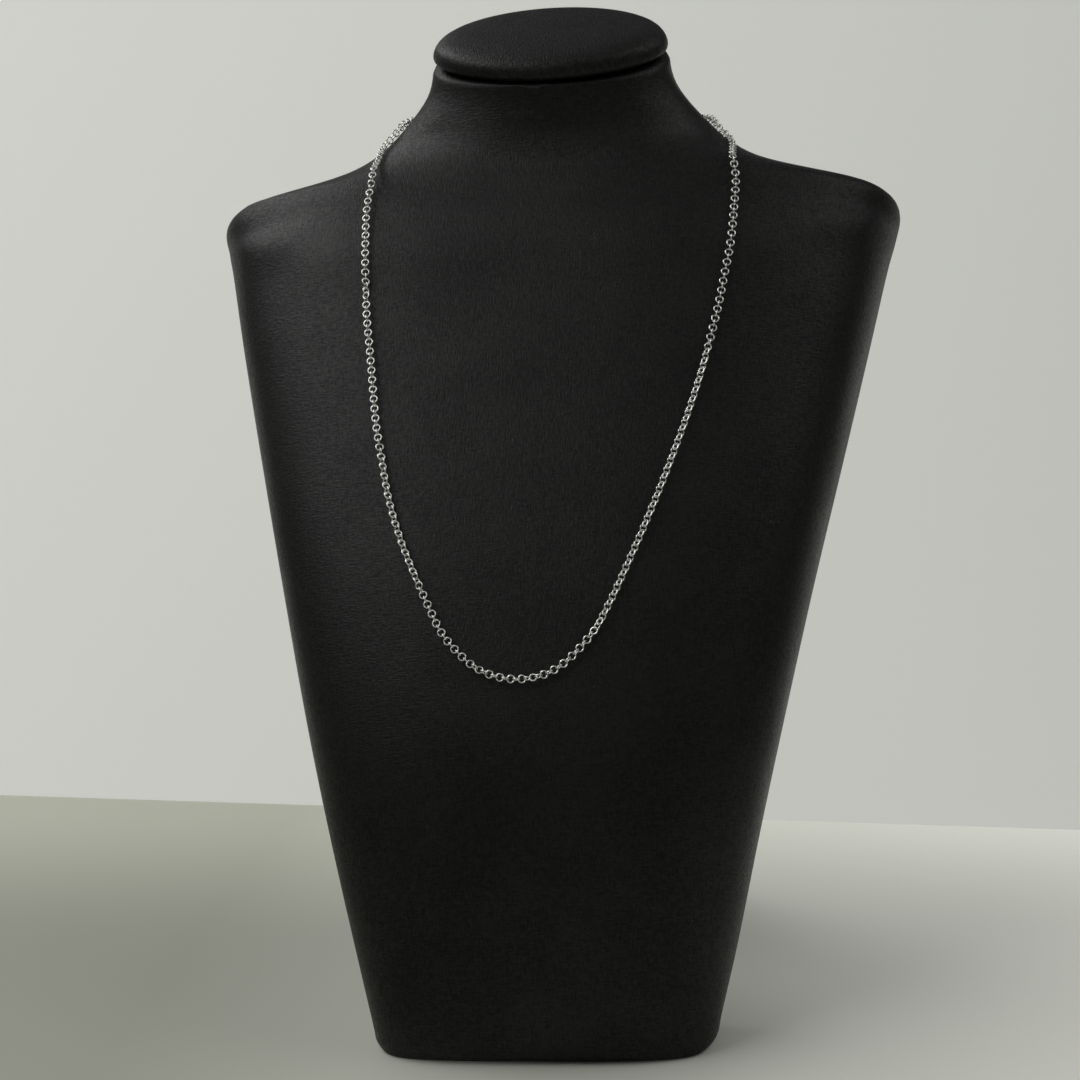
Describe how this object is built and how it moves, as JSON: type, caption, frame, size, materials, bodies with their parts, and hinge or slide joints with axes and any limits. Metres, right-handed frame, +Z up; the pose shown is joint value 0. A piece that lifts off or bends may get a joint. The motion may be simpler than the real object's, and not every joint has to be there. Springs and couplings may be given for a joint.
{
  "type": "portuguese link chain on a neck bust",
  "caption": "Fine silver chain of small round interlocking links, hanging in a long U on a plain black padded neck bust with a rear strut.",
  "frame": {"origin": "on the floor, under the middle of the bust's and strut's box", "axes": "+Z up, the bust's front towards -Y, +X to the viewer's right"},
  "size_m": [0.2032, 0.1606, 0.2783],
  "materials": {
    "leatherette": "black imitation leather with a fine linen grain, satin",
    "strut_board": "matt black board",
    "silver": "polished silver wire"
  },
  "bodies": {
    "root": {"bust_body": "leatherette", "neck_pad": "leatherette", "rear_strut": "strut_board", "chain_front": "silver", "chain_nape": "silver", "clasp": "silver"}
  },
  "joints": []
}
